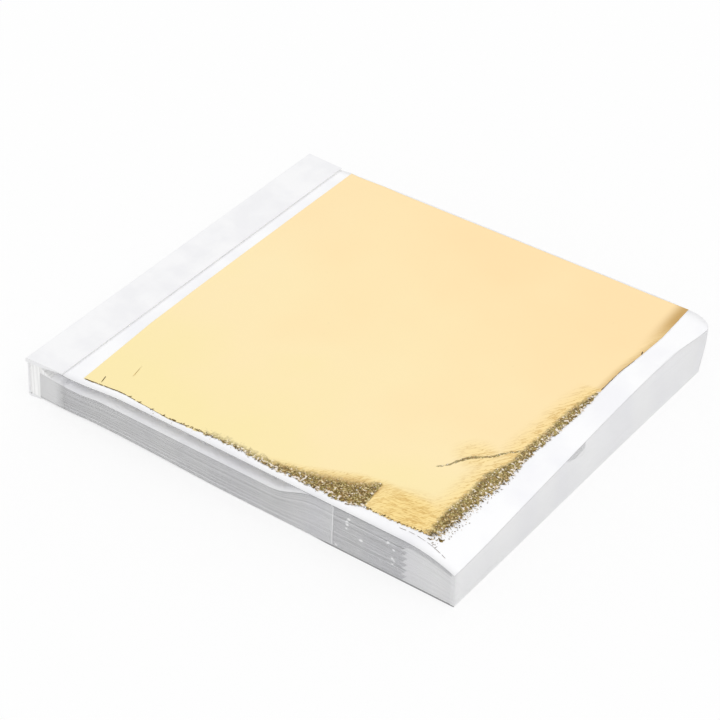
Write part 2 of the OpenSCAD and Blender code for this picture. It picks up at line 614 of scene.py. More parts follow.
@dataclass(frozen=True)
class PaddingGlue(Finish):
    """White PVA padding glue, brushed on along the spine in coats. It dries as a satin film,
    and its cut end shows the coats as faint upright streaks."""

    white: str = "#FFFFFE"
    streak: str = "#E6E6E5"
    coat: float = 0.35

    def dress(self, tree: Tree, shader: bpy.types.Node) -> None:
        """Streaks that vary across the bead and hardly along its height.

        Args:
            tree: Node tree of the material.
            shader: Its shader.
        """
        place = add(tree, "ShaderNodeTexCoord", out="Object")
        coats = add(
            tree, "ShaderNodeMapping", {"Vector": place, "Scale": (1 / self.coat / MM, 40, 60)}
        )
        streaks = add(tree, NOISE, {"Vector": coats, "Scale": 1.0, "Detail": 2.0})
        share = ramp(tree, streaks, 0.45, 0.72)
        colour = mix(tree, share, self.white, self.streak)
        fill(tree, shader, {"Base Color": colour, "Roughness": 0.5})
        bump = add(tree, "ShaderNodeBump", {"Height": streaks, "Strength": 0.2, "Distance": 0.02 * MM})
        tree.links.new(bump, shader.inputs["Normal"])


@dataclass(frozen=True)
class UncoatedCard(Finish):
    """White uncoated card of about 300 g/m2, calendered: matt, with a faint cloud of fibres.
    Where it is cut, the edge is greyer than the face, and past a set distance from the spine the
    cut edge that faces the near side is painted dark grey as a contact shadow."""

    white: str = "#F8F8F9"
    cloud: str = "#F2F2F4"
    edge: str = "#DADADC"
    shadow_from: float = 1000.0
    painted_shadow: str = "#8F8F90"
    fibre: float = 0.45
    cloud_size: float = 6.0

    def dress(self, tree: Tree, shader: bpy.types.Node) -> None:
        """Cloud and fibre noise, and a cut edge told by the normal along Y, with a painted contact
        shadow on its near side.

        Args:
            tree: Node tree of the material.
            shader: Its shader.
        """
        place = add(tree, "ShaderNodeTexCoord", out="Object")
        clouds = add(tree, NOISE, {"Vector": place, "Scale": 1 / self.cloud_size / MM, "Detail": 3.0})
        share = ramp(tree, clouds, 0.4, 0.65)
        face = mix(tree, share, self.white, self.cloud)
        normal = add(tree, "ShaderNodeNewGeometry", out="True Normal")
        parts = add(tree, "ShaderNodeSeparateXYZ", {"Vector": normal}).node.outputs
        upright, facing = parts["Z"], parts["Y"]
        flat = calc(tree, "ABSOLUTE", upright)
        across = add(tree, "ShaderNodeSeparateXYZ", {"Vector": place}, out="X")
        # Painted contact shadow: the near cut edge turns dark grey past a set distance from the spine
        outer = ramp(tree, across, self.shadow_from * MM, (self.shadow_from + 3) * MM)
        near = calc(tree, "LESS_THAN", facing, -0.5)
        outer = calc(tree, "MULTIPLY", outer, near)
        edge = mix(tree, outer, self.edge, self.painted_shadow)
        cut = calc(tree, "LESS_THAN", flat, 0.5)
        colour = mix(tree, cut, face, edge)
        fill(tree, shader, {"Base Color": colour, "Roughness": 0.85, "Specular IOR Level": 0.3})
        fibres = add(tree, NOISE, {"Vector": place, "Scale": 1 / self.fibre / MM, "Detail": 4.0})
        bump = add(tree, "ShaderNodeBump", {"Height": fibres, "Strength": 0.25, "Distance": 0.02 * MM})
        tree.links.new(bump, shader.inputs["Normal"])


@dataclass(frozen=True)
class TissueFace(Finish):
    """White calendered tissue of about 25 g/m2: matt and even, slightly cool, with the cloudy
    look-through of thin paper, cockled a little by its own damp."""

    white: str = "#FDFDFE"
    cloud: str = "#F7F7FA"
    cloud_size: float = 9.0
    cockle: float = 14.0
    fibre: float = 0.6

    def dress(self, tree: Tree, shader: bpy.types.Node) -> None:
        """Clouds, cockles and fibres on the page's own rest place.

        Args:
            tree: Node tree of the material.
            shader: Its shader.
        """
        place = add(tree, "ShaderNodeAttribute", out="Vector", attribute_name="place")
        clouds = add(tree, NOISE, {"Vector": place, "Scale": 1 / self.cloud_size, "Detail": 3.0})
        share = ramp(tree, clouds, 0.4, 0.65)
        colour = mix(tree, share, self.white, self.cloud)
        fill(tree, shader, {"Base Color": colour, "Roughness": 0.8, "Specular IOR Level": 0.2})
        cockles = add(tree, NOISE, {"Vector": place, "Scale": 1 / self.cockle, "Detail": 1.0})
        wide = add(tree, "ShaderNodeBump", {"Height": cockles, "Strength": 0.3, "Distance": 0.4 * MM})
        fibres = add(tree, NOISE, {"Vector": place, "Scale": 1 / self.fibre, "Detail": 3.0})
        fine = add(
            tree,
            "ShaderNodeBump",
            {"Height": fibres, "Strength": 0.15, "Distance": 0.02 * MM, "Normal": wide},
        )
        tree.links.new(fine, shader.inputs["Normal"])


@dataclass(frozen=True)
class CutEdges(Finish):
    """Guillotined edges of the tissue pages. The stack reads grey between its sheets, partly as
    painted shade of the near face. Painted shade is darkest under the lip of the block and under
    the upper pages, and a painted contact shadow runs along its foot. It is marked by the clamp
    that held it for cutting: a pressed stretch with burrs and stray dust ends in a stepped line
    before the smooth fore part."""

    spine_zone: str = "#D8D8D8"
    grey: str = "#BEBEBE"
    grey_low: str = "#A0A0A0"
    pressed: str = "#868686"
    pressed_streak: str = "#B6B6B6"
    mark: str = "#ECECEC"
    mark_dark: str = "#6C6C6C"
    dust: str = "#FFFFFF"
    smooth: str = "#D6D6D6"
    under_top_shade: str = "#969696"
    # Painted contact shadow along the foot of the stack
    bottom: str = "#8C8C8C"
    clean: str = "#E4E4E4"
    clean_low: str = "#DCDCDC"
    clean_top: str = "#B9B9B9"
    spine_end: float = 7.0
    pressed_from: float = 70.9
    pressed_to: float = 85.7
    teeth: float = 7.0
    tooth_depth: float = 1.3
    top_shade_share: float = 0.9
    fore_from: float = 96.2

    def dress(self, tree: Tree, shader: bpy.types.Node) -> None:
        """Paints zones over each other, along x_abs and over the height of the stack.

        Args:
            tree: Node tree of the material.
            shader: Its shader.
        """
        place = add(tree, "ShaderNodeAttribute", out="Vector", attribute_name="place")
        parts = add(tree, "ShaderNodeSeparateXYZ", {"Vector": place}).node.outputs
        across, along, height = (parts[k] for k in "XYZ")
        tone = self.streaks(tree, place, (0.05, 0.05, 30), 0.35, 0.68)
        start = self.pressed_from
        started = ramp(tree, across, start - 0.1, start + 0.1)
        # Stepped line where the clamp's pad ended
        saw = calc(tree, "MULTIPLY", height, self.teeth)
        saw = calc(tree, "FRACT", saw)
        saw = calc(tree, "MULTIPLY_ADD", saw, self.tooth_depth, self.pressed_to)
        past = calc(tree, "GREATER_THAN", across, saw)
        # Painted shade: a darker band under the uppermost pages
        upper = ramp(tree, height, 0.82, 0.84)
        top_shade = ramp(tree, across, start, start + 8, self.top_shade_share)
        top_shade = calc(tree, "MULTIPLY", top_shade, upper)
        # Painted contact shadow: the lowest sheets turn dark grey
        low = calc(tree, "LESS_THAN", height, 0.016)
        # The far end and the fore edge are cut clean, and painted lighter than the near face, partly as painted
        # light
        far = calc(tree, "GREATER_THAN", along, 0.0)
        fore = calc(tree, "GREATER_THAN", across, self.fore_from)
        clean = calc(tree, "MAXIMUM", far, fore)
        cut = mix(tree, tone, self.clean, self.clean_low)
        brink = ramp(tree, height, 0.955, 0.985)
        cut = mix(tree, brink, cut, self.clean_top)
        # Pale line that the clamp's edge left, and a dark one beside it
        marks = [
            (calc(tree, "COMPARE", across, start + off, half), shade)
            for off, half, shade in ((-0.2, 0.12, self.mark), (0.03, 0.11, self.mark_dark))
        ]
        colour = self.plain(tree, across, height, tone)
        for share, paint in (
            (started, self.pressed_stretch(tree, place, height)),
            *marks,
            (past, self.smooth),
            (top_shade, self.under_top_shade),
            (low, self.bottom),
            (clean, cut),
        ):
            colour = mix(tree, share, colour, paint)
        fill(tree, shader, {"Base Color": colour, "Roughness": 0.9, "Specular IOR Level": 0.1})

    def streaks(self, tree: Tree, place: Socket, scale: Sequence[float], low: float, high: float) -> Socket:
        """Noise drawn out along the sheets.

        Args:
            tree: Node tree of the material.
            place: Rest place of the pages.
            scale: Waves a millimetre along X and Y, and over the stack's height.
            low: Noise that gives 0.
            high: Noise that gives 1.

        Returns:
            The streaks' tone.
        """
        sheets = add(tree, "ShaderNodeMapping", {"Vector": place, "Scale": scale})
        noise = add(tree, NOISE, {"Vector": sheets, "Scale": 1.0, "Detail": 3.0, "Roughness": 0.6})
        return ramp(tree, noise, low, high)

    def plain(self, tree: Tree, across: Socket, height: Socket, tone: Socket) -> Socket:
        """The unpressed stack: streaky grey, with painted shade under its lip, pale beside the glue.

        Args:
            tree: Node tree of the material.
            across: Distance from the spine.
            height: Share of the stack's height.
            tone: Streaks along the sheets.

        Returns:
            The colour.
        """
        grey = mix(tree, tone, self.grey, self.grey_low)
        # Painted shade: darker under the lip of the block
        lip = ramp(tree, height, 0.86, 0.97)
        grey = mix(tree, lip, grey, self.grey_low)
        beside = ramp(tree, across, self.spine_end - 0.8, self.spine_end + 1.4)
        return mix(tree, beside, self.spine_zone, grey)

    def pressed_stretch(self, tree: Tree, place: Socket, height: Socket) -> Socket:
        """Fine pale lines on a darker ground, short notches near the top and a few specks.

        Args:
            tree: Node tree of the material.
            place: Rest place of the pages.
            height: Share of the stack's height.

        Returns:
            The colour.
        """
        lines = self.streaks(tree, place, (0.16, 0.1, 60), 0.52, 0.68)
        ground = mix(tree, lines, self.pressed, self.pressed_streak)
        dashes = self.streaks(tree, place, (1.5, 0.1, 17), 0.54, 0.57)
        near_top = ramp(tree, height, 0.75, 0.80)
        dashes = calc(tree, "MULTIPLY", dashes, near_top)
        ground = mix(tree, dashes, ground, self.mark_dark)
        grain = add(tree, "ShaderNodeMapping", {"Vector": place, "Scale": (0.9, 0.2, 11)})
        specks = add(tree, "ShaderNodeTexVoronoi", {"Vector": grain, "Scale": 0.8, "Randomness": 1.0})
        specks = calc(tree, "LESS_THAN", specks, 0.24)
        sparse = add(tree, NOISE, {"Vector": grain, "Scale": 0.35, "Detail": 0.0})
        sparse = calc(tree, "GREATER_THAN", sparse, 0.54)
        specks = calc(tree, "MULTIPLY", specks, sparse)
        return mix(tree, specks, ground, self.dust)


@dataclass(frozen=True)
class BeatenLeaf(Finish):
    """Beaten metal leaf of brass, under a thousandth of a millimetre thick. It mirrors softly
    in faint cloudy tints. Its wrinkles are painted a deeper gold with darker strokes, as painted
    reflection and shade, and some places a duller gold as painted shade. Where it is crushed it
    turns into a dark olive tangle of tiny folds, painted with the shade in its folds and with
    bright flecks as painted highlights."""

    bright: str = "#FEEAB9"
    rose: str = "#FFE3B0"
    lemon: str = "#FCEBB2"
    golden: str = "#FBDC8C"
    deep: str = "#C99A48"
    painted_shade: str = "#C49C5A"
    olive: str = "#9A8C4E"
    brown: str = "#99794B"
    shadow: str = "#3E3214"
    beige: str = "#EFDFB2"
    gap: str = "#F1E9E0"
    tint_size: float = 24.0
    fold_gap: float = 0.75
    fore_turn: float = 60.0
    near_turn: float = 12.0
    warmth: float = 0.5
    stroke_share: float = 0.6

    def dress(self, tree: Tree, shader: bpy.types.Node) -> None:
        """Tints on the rest place. Attributes of the mesh say where it is wrinkled, crushed or holed, and where
        painted shade goes.

        Args:
            tree: Node tree of the material.
            shader: Its shader.
        """
        place = add(tree, "ShaderNodeAttribute", out="Vector", attribute_name="place")
        worn = {
            name: add(tree, "ShaderNodeAttribute", out="Fac", attribute_name=name) for name in TONES
        }
        tint = add(tree, NOISE, {"Vector": place, "Scale": 1 / self.tint_size, "Detail": 2.0})
        # Rosier towards the back, in clouds
        parts = add(tree, "ShaderNodeSeparateXYZ", {"Vector": place}).node.outputs
        back = calc(tree, "MULTIPLY_ADD", parts["X"], 0.35, parts["Y"])
        back = calc(tree, "MULTIPLY_ADD", tint, 70.0, back)
        rosy = ramp(tree, back, 42.0, 100.0)
        lemony = ramp(tree, back, 38.0, 8.0)
        colour = mix(tree, rosy, self.bright, self.rose)
        colour = mix(tree, lemony, colour, self.lemon)
        # Wrinkles: a deeper gold and long fine strokes in two directions, as painted reflection and shade
        for name, turn in (("wrinkle", self.fore_turn), ("corner", self.near_turn)):
            warm = calc(tree, "MULTIPLY", worn[name], self.warmth)
            colour = mix(tree, warm, colour, self.golden)
            lines = calc(tree, "MULTIPLY", self.strokes(tree, place, turn), worn[name])
            lines = calc(tree, "MULTIPLY", lines, self.stroke_share)
            colour = mix(tree, lines, colour, self.deep)
        # Painted shade: a duller gold where the shade tone says
        colour = mix(tree, worn["shade"], colour, self.painted_shade)
        # Crushed places take the tangle: painted shade in the folds and painted highlights
        edge = add(tree, NOISE, {"Vector": place, "Scale": 1.5, "Detail": 3.0, "Roughness": 0.7})
        edge = calc(tree, "MULTIPLY_ADD", edge, 1.3, worn["crush"])
        share = ramp(tree, edge, 0.9, 1.55, 0.86)
        colour = mix(tree, share, colour, self.tangle(tree, place, worn["pale"]))
        fill(tree, shader, {"Base Color": colour, "Metallic": 1.0, "Roughness": 0.34})
        fine = add(tree, NOISE, {"Vector": place, "Scale": 0.9, "Detail": 4.0, "Roughness": 0.65})
        bump = add(tree, "ShaderNodeBump", {"Height": fine, "Strength": 0.25, "Distance": 0.12 * MM})
        tree.links.new(bump, shader.inputs["Normal"])

    @staticmethod
    def thin_lines(tree: Tree, noise: Socket, width: float) -> Socket:
        """Lines where noise passes its middle.

        Args:
            tree: Node tree of the material.
            noise: The noise.
            width: How far off its middle a line ends.

        Returns:
            1 on a line, 0 where the noise is off by the width or more.
        """
        off = calc(tree, "SUBTRACT", noise, 0.5)
        off = calc(tree, "ABSOLUTE", off)
        return ramp(tree, off, width, width * 0.3)

    def strokes(self, tree: Tree, place: Socket, turn: float) -> Socket:
        """Long fine lines about half a millimetre apart along a direction.

        Args:
            tree: Node tree of the material.
            place: Rest place of the leaf.
            turn: Direction, in degrees from the X axis.

        Returns:
            1 on the lines and 0 between them.
        """
        drawn = add(
            tree,
            "ShaderNodeMapping",
            {"Vector": place, "Rotation": (0, 0, math.radians(turn)), "Scale": (5, 0.8, 1)},
            vector_type="TEXTURE",
        )
        noise = add(tree, NOISE, {"Vector": drawn, "Scale": 1.0, "Detail": 3.0, "Roughness": 0.62})
        return self.thin_lines(tree, noise, 0.04)

    def tangle(self, tree: Tree, place: Socket, pale: Socket) -> Socket:
        """Crushed folds: olive and brown ground and a net of curved dark lines as painted shade in
        the folds, with bright flecks as painted highlights.

        Args:
            tree: Node tree of the material.
            place: Rest place of the leaf.
            pale: How far the leaf is in holes there, through which the white page shows.

        Returns:
            The colour of the crushed leaf.
        """
        ground = add(tree, NOISE, {"Vector": place, "Scale": 1.1 / self.fold_gap, "Detail": 2.0})
        share = ramp(tree, ground, 0.42, 0.56)
        colour = mix(tree, share, self.brown, self.olive)
        # Painted highlights: bright flecks
        light = add(tree, NOISE, {"Vector": place, "Scale": 2.1 / self.fold_gap, "Detail": 1.0})
        light = ramp(tree, light, 0.54, 0.64)
        colour = mix(tree, light, colour, self.beige)
        # Painted shade: a net of dark lines in the folds
        for scale, width in ((0.8, 0.05), (1.5, 0.045)):
            net = add(
                tree,
                NOISE,
                {"Vector": place, "Scale": scale / self.fold_gap, "Detail": 1.5, "Distortion": 0.9},
            )
            lines = self.thin_lines(tree, net, width)
            colour = mix(tree, lines, colour, self.shadow)
        holes = add(tree, NOISE, {"Vector": place, "Scale": 1.3 / self.fold_gap, "Detail": 2.0})
        holes = calc(tree, "MULTIPLY_ADD", pale, 0.13, holes)
        holes = ramp(tree, holes, 0.63, 0.68)
        return mix(tree, holes, colour, self.gap)


@dataclass(frozen=True)
class CrushedLeaf(Finish):
    """Crumbs and torn slivers of the same metal leaf, crumpled: mostly painted dark as the shade of their
    crumples, some painted bright as highlights.
    """

    brown: str = "#5A4528"
    olive: str = "#98824E"
    gold: str = "#E0C48C"

    def dress(self, tree: Tree, shader: bpy.types.Node) -> None:
        """Each flake's tone runs from brown through olive to gold, from painted shade to painted highlight.

        Args:
            tree: Node tree of the material.
            shader: Its shader.
        """
        tone = add(tree, "ShaderNodeAttribute", out="Fac", attribute_name="crush")
        first = ramp(tree, tone, 0.0, 0.6)
        second = ramp(tree, tone, 0.6, 1.0)
        colour = mix(tree, first, self.brown, self.olive)
        colour = mix(tree, second, colour, self.gold)
        fill(tree, shader, {"Base Color": colour, "Metallic": 1.0, "Roughness": 0.4})


@dataclass(frozen=True)
class StudioFloor(Finish):
    """Seamless white paper sweep. The camera and mirrors see it white, with a part of the
    object's shadow."""

    white: str = "#FCFCFC"
    shadow_share: float = 0.25

    def dress(self, tree: Tree, shader: bpy.types.Node) -> None:
        """Mixes plain white with the lit floor where the camera or a mirror looks.

        Args:
            tree: Node tree of the material.
            shader: Its shader.
        """
        white = linear(self.white)
        fill(tree, shader, {"Base Color": white, "Roughness": 1.0, "Specular IOR Level": 0.0})
        rays = add(tree, "ShaderNodeLightPath").node
        seen = calc(tree, "MAXIMUM", rays.outputs["Is Camera Ray"], rays.outputs["Is Glossy Ray"])
        seen = calc(tree, "MAXIMUM", seen, rays.outputs["Is Transmission Ray"])
        plain = calc(tree, "MULTIPLY", seen, 1 - self.shadow_share)
        glow = add(tree, "ShaderNodeEmission", {"Color": (1, 1, 1, 1), "Strength": 1.0})
        sweep = add(tree, "ShaderNodeMixShader", {0: plain, 1: shader.outputs[0], 2: glow})
        output = next(n for n in tree.nodes if n.bl_idname == "ShaderNodeOutputMaterial")
        tree.links.new(sweep, output.inputs["Surface"])


TISSUE = TissueFace("calendered_tissue")
EDGES = CutEdges("guillotined_tissue_edges")
GLUE = PaddingGlue("pva_padding_glue")
STRIP = UncoatedCard("uncoated_strip_card", edge="#F0F0F1")
COVER = UncoatedCard("uncoated_cover_card", edge="#EFEFEF", shadow_from=18.0)
LEAF = BeatenLeaf("beaten_metal_leaf")
CRUMBS = CrushedLeaf("crushed_metal_leaf")
FLOOR = StudioFloor("studio_paper_sweep")


# Sub-assemblies


@dataclass
class Binding:
    """Strip, glue and cover, and the bound margins of the pages. The glue is the CAD node.
    The strip is the CAD's profile with its hand-cut ends a little askew, and the cover keeps
    to the outline of the lowest page."""

    lie: StackLie
    pages: "Pages"
    near_over: float = 0.25
    upper_slant: float = 0.6
    lower_slant: float = 1.6
    far_over: float = 0.8
    cover: float = 0.3
    fillet: float = 2.6

    def build(self) -> None:
        """Dresses the glue and makes the strip, the cover and the margins."""
        mesh = frame["nodes"]["spine_glue"].data
        mesh.materials.clear()
        mesh.materials.append(GLUE.material())
        LOG.info("spine_glue: the CAD's solid, with its finish")
        self.build_strip()
        self.build_cover()
        self.build_margins()
        self.build_fillet()

    def build_fillet(self) -> None:
        """Makes the fillet of glue that ran from the bead into the gap between pages 3 and 4."""
        lie = self.lie
        s, t = np.meshgrid(np.linspace(0, 1, 9), [0, 1], indexing="ij")
        x = lie.glue_depth + self.fillet * s
        y = lie.near + 0.1 + (lie.far - lie.near - 0.2) * t
        low = lie.page_low(lie.upper + 1, x, y) + lie.page + 0.005
        gap = lie.page_low(lie.upper, x, y) - 0.01 - low
        fillet = Surface("pva_glue_fillet")
        fillet.add_sheet(lie, x, y, low, low + gap * (0.03 + 0.97 * (1 - s) ** 2), 1.0)
        made = fillet.build([GLUE, GLUE])
        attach(made, "binding")

    def build_cover(self) -> None:
        """Makes the back cover, one card under the lowest page."""
        lie = self.lie
        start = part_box("back_cover")[0].x / MM - lie.spine
        x, t = np.meshgrid(np.linspace(start, lie.outer, 81), np.linspace(0, 1, 13), indexing="ij")
        y = lie.near + (lie.far_at(x, 0) - lie.near) * t
        card = Surface("card_back_cover")
        top = lie.foot(x)
        card.add_sheet(lie, x - lie.setback(x, y, 0), y, top - self.cover, top, 0.0)
        made = card.build([COVER, COVER])
        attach(made, "binding")
        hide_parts("back_cover")

    def build_strip(self) -> None:
        """Makes the strip from the CAD's faces, its end points moved along Y."""
        source = frame["nodes"]["binding_strip"].data
        source.calc_loop_triangles()
        points = node_points("binding_strip")
        corners = np.empty(len(source.loop_triangles) * 3, np.int32)
        source.loop_triangles.foreach_get("vertices", corners)
        # Points that lie together become one, so that the mesh is closed
        joined, index = np.unique(np.round(points, 4), axis=0, return_inverse=True)
        faces = index.reshape(-1)[corners].reshape(-1, 3)
        across = np.clip((joined[:, 0] - self.lie.spine) / self.lie.flap_edge, 0, 1)
        upper = joined[:, 2] > joined[:, 2].mean()
        near = across * np.where(upper, self.upper_slant, self.lower_slant) - self.near_over
        joined[:, 1] += np.where(joined[:, 1] < 0, near, self.far_over)
        mesh = bpy.data.meshes.new("card_binding_strip")
        mesh.from_pydata((joined * MM).tolist(), [], faces.tolist())
        mesh.materials.append(STRIP.material())
        mesh.validate()
        LOG.info("card_binding_strip: %d points, %d faces", len(joined), len(faces))
        made = bpy.data.objects.new("card_binding_strip", mesh)
        bpy.context.scene.collection.objects.link(made)
        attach(made, "binding")
        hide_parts("binding_strip")

    def build_margins(self) -> None:
        """Makes the margins of all pages between the glue and the edge of the flap."""
        lie = self.lie
        margins = Surface("tissue_bound_margins")
        for i in range(1, lie.pages + 1):
            x, t = np.meshgrid(np.linspace(lie.glue_depth, lie.flap_edge, 4), [0, 1], indexing="ij")
            near = self.pages.near_at(i, x)
            y = near + (lie.far_at(x, lie.share(i)) - self.pages.far_in[i - 1] - near) * t
            low = lie.page_low(i, x, y)
            margins.add_sheet(lie, x, y, low, low + lie.page, lie.share(i))
        made = margins.build([TISSUE, EDGES])
        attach(made, "binding")
        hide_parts("bound_margins")


@dataclass
class Pages:
    """The turning pages. Each is one sheet from the flap's edge to the fore edge, with its fold
    beside the flap."""

    lie: StackLie
    margin: float = 0.1
    top_margin: float = 1.3
    lip: float = 0.5
    leaf_inset: float = 0.6
    unevenness: float = 0.16
    seed: int = 7

    def __post_init__(self) -> None:
        """Draws how far each page stands out at its near edge and stays back at the others."""
        draw = np.random.default_rng(self.seed)
        count = self.lie.pages
        steps = np.repeat(draw.uniform(0, 1, 25), 4)[:count]
        self.stand_out = self.unevenness * (0.6 * steps + 0.4 * draw.uniform(0, 1, count))
        self.fore_in = 0.03 * draw.uniform(0, 1, count)
        self.far_in = 0.12 * draw.uniform(0, 1, count)
        self.stand_out[0:3] = self.lip
        self.stand_out[3:6] = 0.4, 0.33, 0.25

    def stations(self, fold: float, fine: bool) -> Array:
        """Stations across a page, closest where it bends and at the rounded corner.

        Args:
            fold: Place of the fold.
            fine: Whether the page is the uppermost one.

        Returns:
            Rising x_abs from the flap's edge to the fore edge.
        """
        lie, more = self.lie, 2 if fine else 1
        ends = [
            (lie.flap_edge, fold, 2),
            (fold, lie.leaf_inner, 9),
            (lie.leaf_inner, 24, 8 * more),
            (24, 57, 7 * more),
            (57, 67, 9 * more),
            (67, lie.outer - lie.fore_run, 5 * more),
        ]
        fore = lie.outer - lie.fore_run * (1 - np.sin(np.linspace(0, math.pi / 2, 10 * more)))
        inner = [np.linspace(a, b, n, endpoint=False) for a, b, n in ends]
        return np.sort(np.concatenate([*inner, fore, [lie.leaf_outer]]))

    def grid(self, i: int, fold: float) -> tuple[Array, Array]:
        """Places of a page's points. All rows but the first and last lie within the leaf's
        ends, so that the leaf can share them and lies on its page without a gap.

        Args:
            i: Number of the page, counted from the top.
            fold: Place of its fold.

        Returns:
            x_abs and y of the grid.
        """
        lie, share, fine = self.lie, self.lie.share(i), i == 1
        x, t = np.meshgrid(self.stations(fold, fine), np.linspace(0, 1, 61 if fine else 11), indexing="ij")
        near, far = self.near_at(i, x), lie.far_at(x, share) - self.far_in[i - 1]
        leaf_far = np.minimum(lie.leaf_far, far - self.leaf_inset)
        y = lie.leaf_near + (leaf_far - lie.leaf_near) * t
        y = np.concatenate([near[:, :1], y, far[:, :1]], 1)
        x = np.concatenate([x[:, :1], x, x[:, :1]], 1)
        x = x - lie.setback(x, y, share) - self.fore_in[i - 1] * ease(x, lie.outer - 2, lie.outer)
        return x, y

    def add_page(self, surface: Surface, i: int, fold: float) -> None:
        """Adds page i to a surface.

        Args:
            surface: Surface that gets the page.
            i: Number of the page, counted from the top.
            fold: Place of its fold.
        """
        lie, share = self.lie, self.lie.share(i)
        x, y = self.grid(i, fold)
        low = lie.page_low(i, x, y)
        if i == 1:
            low = low + self.cockle(x, y)
        surface.add_sheet(lie, x, y, low, low + lie.page, share)

    def near_at(self, i: int, x: Array) -> Array:
        """Near edge of page i, which stands out more and more from the glue to past the flap."""
        return self.lie.near - self.stand_out[i - 1] * ease(x, 1.5, self.lie.flap_edge + 3)

    def cockle(self, x: Array, y: Array) -> Array:
        """Slight waves of the uppermost page, always upwards, none beside the flap."""
        waves = 0.025 * (1 + 0.8 * ripples(x, y, 30, seed=3))
        return np.clip(waves, 0, 0.06) * ease(x, 14, 26)

    def build(self) -> None:
        """Makes one piece for each CAD node of pages."""
        lie = self.lie
        for joint in frame["joints"]:
            body = joint["child"]
            if not body.startswith("page"):
                continue
            numbers = [int(part) for part in body.split("_")[1:]]
            fold = joint["pos_m"][0] / MM - lie.spine
            surface = Surface(f"tissue_{body}")
            for i in range(numbers[0], numbers[-1] + 1):
                self.add_page(surface, i, fold)
            made = surface.build([TISSUE, EDGES])
            # Where a bend would end, further short of the leaves for the upper pages; worked out but not used
            margin = self.top_margin if numbers[0] <= lie.upper else self.margin
            end = lie.row(lie.leaf_inner - margin) * MM
            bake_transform(made)
            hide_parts(body)


@dataclass
class InnerLeaves:
    """Leaves 2 to 100, flat between the pages, on the same points as the page under each."""

    lie: StackLie
    pages: Pages
    clinging_inset: float = 4.0

    def build(self) -> None:
        """Makes one piece for each CAD node of leaves below the uppermost."""
        for body, nodes in frame["record"]["behaviour"]["bodies"].items():
            for node in nodes:
                if node.startswith("lea") and node != "leaf_01":
                    self.build_node(body, node)

    def build_node(self, body: str, node: str) -> None:
        """Makes the leaves of one CAD node.

        Args:
            body: Body that carries them.
            node: Name of the node, which ends in the numbers of its leaves.
        """
        lie = self.lie
        numbers = [int(part) for part in node.split("_")[1:]]
        joint = next(joint for joint in frame["joints"] if joint["child"] == body)
        fold = joint["pos_m"][0] / MM - lie.spine
        surface = Surface(f"metal_{node}")
        for i in range(numbers[0], numbers[-1] + 1):
            clinging = i == lie.upper + 1
            x, y = self.pages.grid(i - clinging, fold)
            inside = (x[:, 0] > lie.leaf_inner - 0.01) & (x[:, 0] < lie.leaf_outer + 0.01)
            x, y = x[inside, 1:-1], y[inside, 1:-1]
            # Leaf 4 has slipped back from the near edge under page 3
            y[:, 0] += self.clinging_inset * clinging
            low = lie.leaf_low(i, x, y)
            surface.add_sheet(lie, x, y, low, low + 0.8 * lie.leaf, lie.share(i) + 0.004)
        made = surface.build([LEAF, LEAF])
        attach(made, body)
        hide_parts(node)


